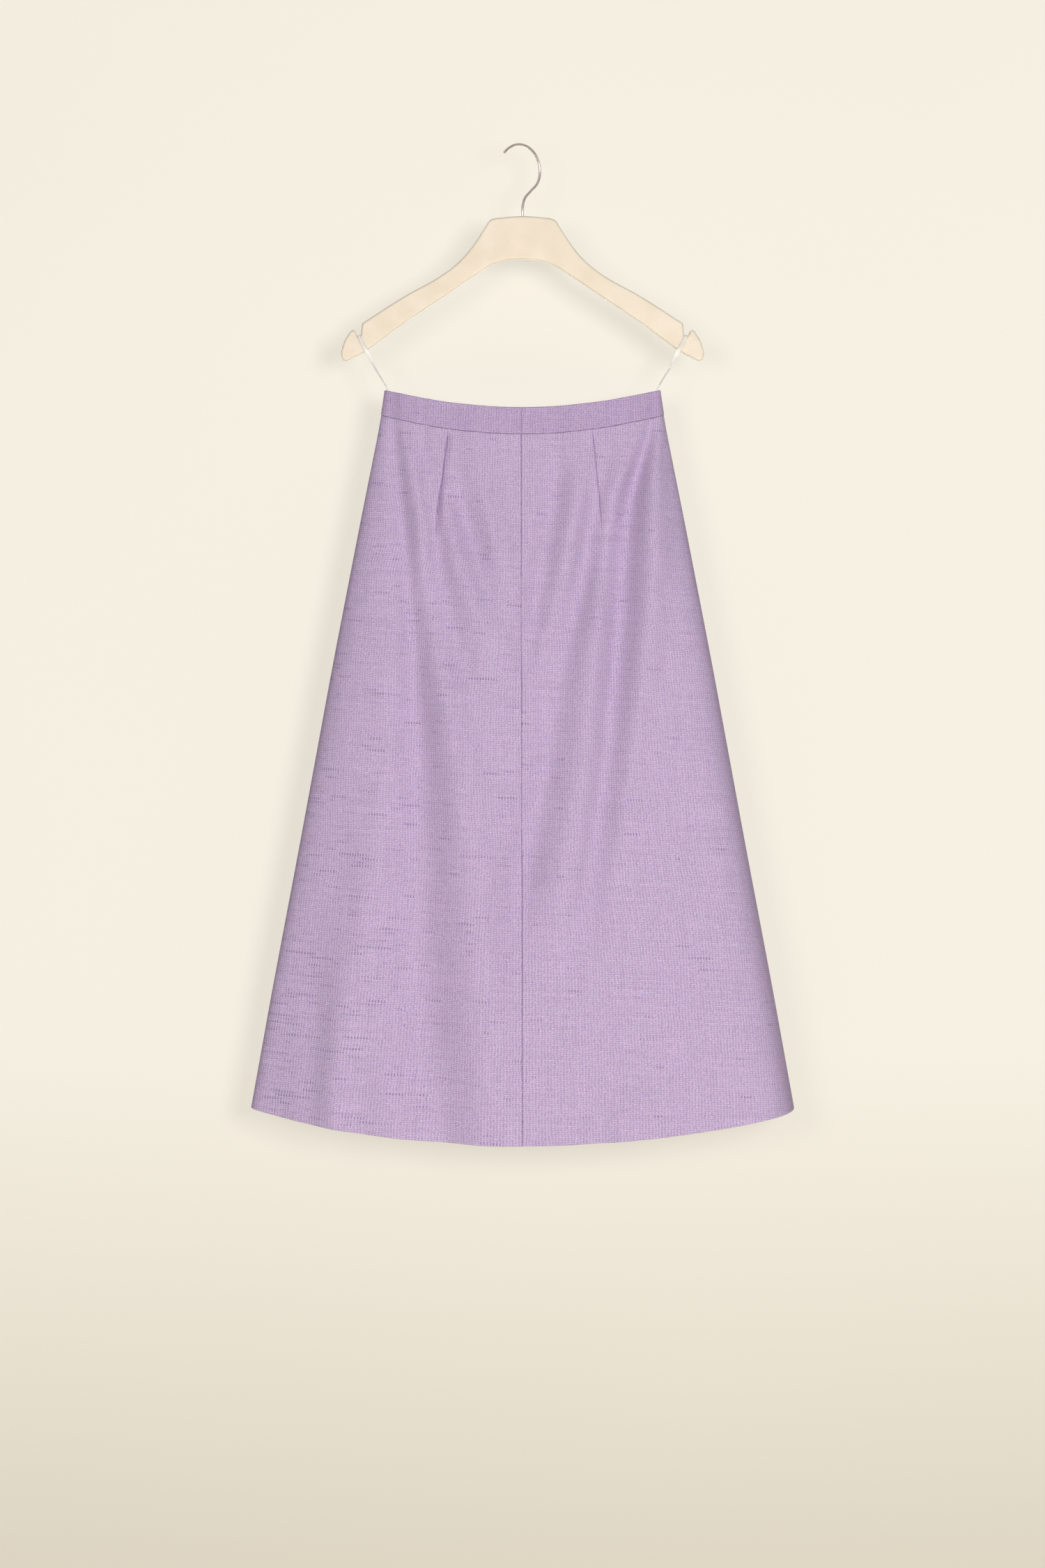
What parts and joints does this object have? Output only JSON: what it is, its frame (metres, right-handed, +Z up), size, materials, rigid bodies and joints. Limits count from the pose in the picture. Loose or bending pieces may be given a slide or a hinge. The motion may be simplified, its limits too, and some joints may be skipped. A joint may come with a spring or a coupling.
{
  "type": "tweed midi skirt on a hanger",
  "caption": "A-line midi skirt in tweed with a folded waistband, darts, centre seams and a concealed back zip, hung by satin loops from a notched hanger with a wire hook.",
  "frame": {"origin": "where the rail touches the underside of the hook's top", "axes": "+X to the right of a viewer who faces the front, +Y towards the back, +Z up"},
  "size_m": [0.6392, 0.1479, 1.1725],
  "materials": {
    "tweed": "lilac and pale pink plain-weave tweed, matt",
    "zip_tape": "fine woven polyester tape dyed to match",
    "zip_metal": "die-cast zinc, enamelled to match",
    "satin": "white satin ribbon",
    "hanger_body": "cream moulded fibre and resin, matt",
    "hook_wire": "satin nickel-plated steel wire"
  },
  "bodies": {
    "garment": {"skirt_front_left": "tweed", "skirt_front_right": "tweed", "skirt_back_left": "tweed", "skirt_back_right": "tweed", "band_front_left": "tweed", "band_front_right": "tweed", "band_back_left": "tweed", "band_back_right": "tweed", "zip_tape_left": "zip_tape", "zip_tape_right": "zip_tape", "zip_slider": "zip_metal", "loop_left": "satin", "loop_right": "satin", "hanger": "hanger_body", "hanger_hook": "hook_wire"},
    "pull": {"zip_pull": "zip_metal"}
  },
  "joints": [
    {"name": "pull_swing", "type": "hinge", "parent": "garment", "child": "pull", "pos_m": [0, 0.02395, -0.3179], "axis": [1, 0, 0], "range_deg": [0, 160]}
  ]
}
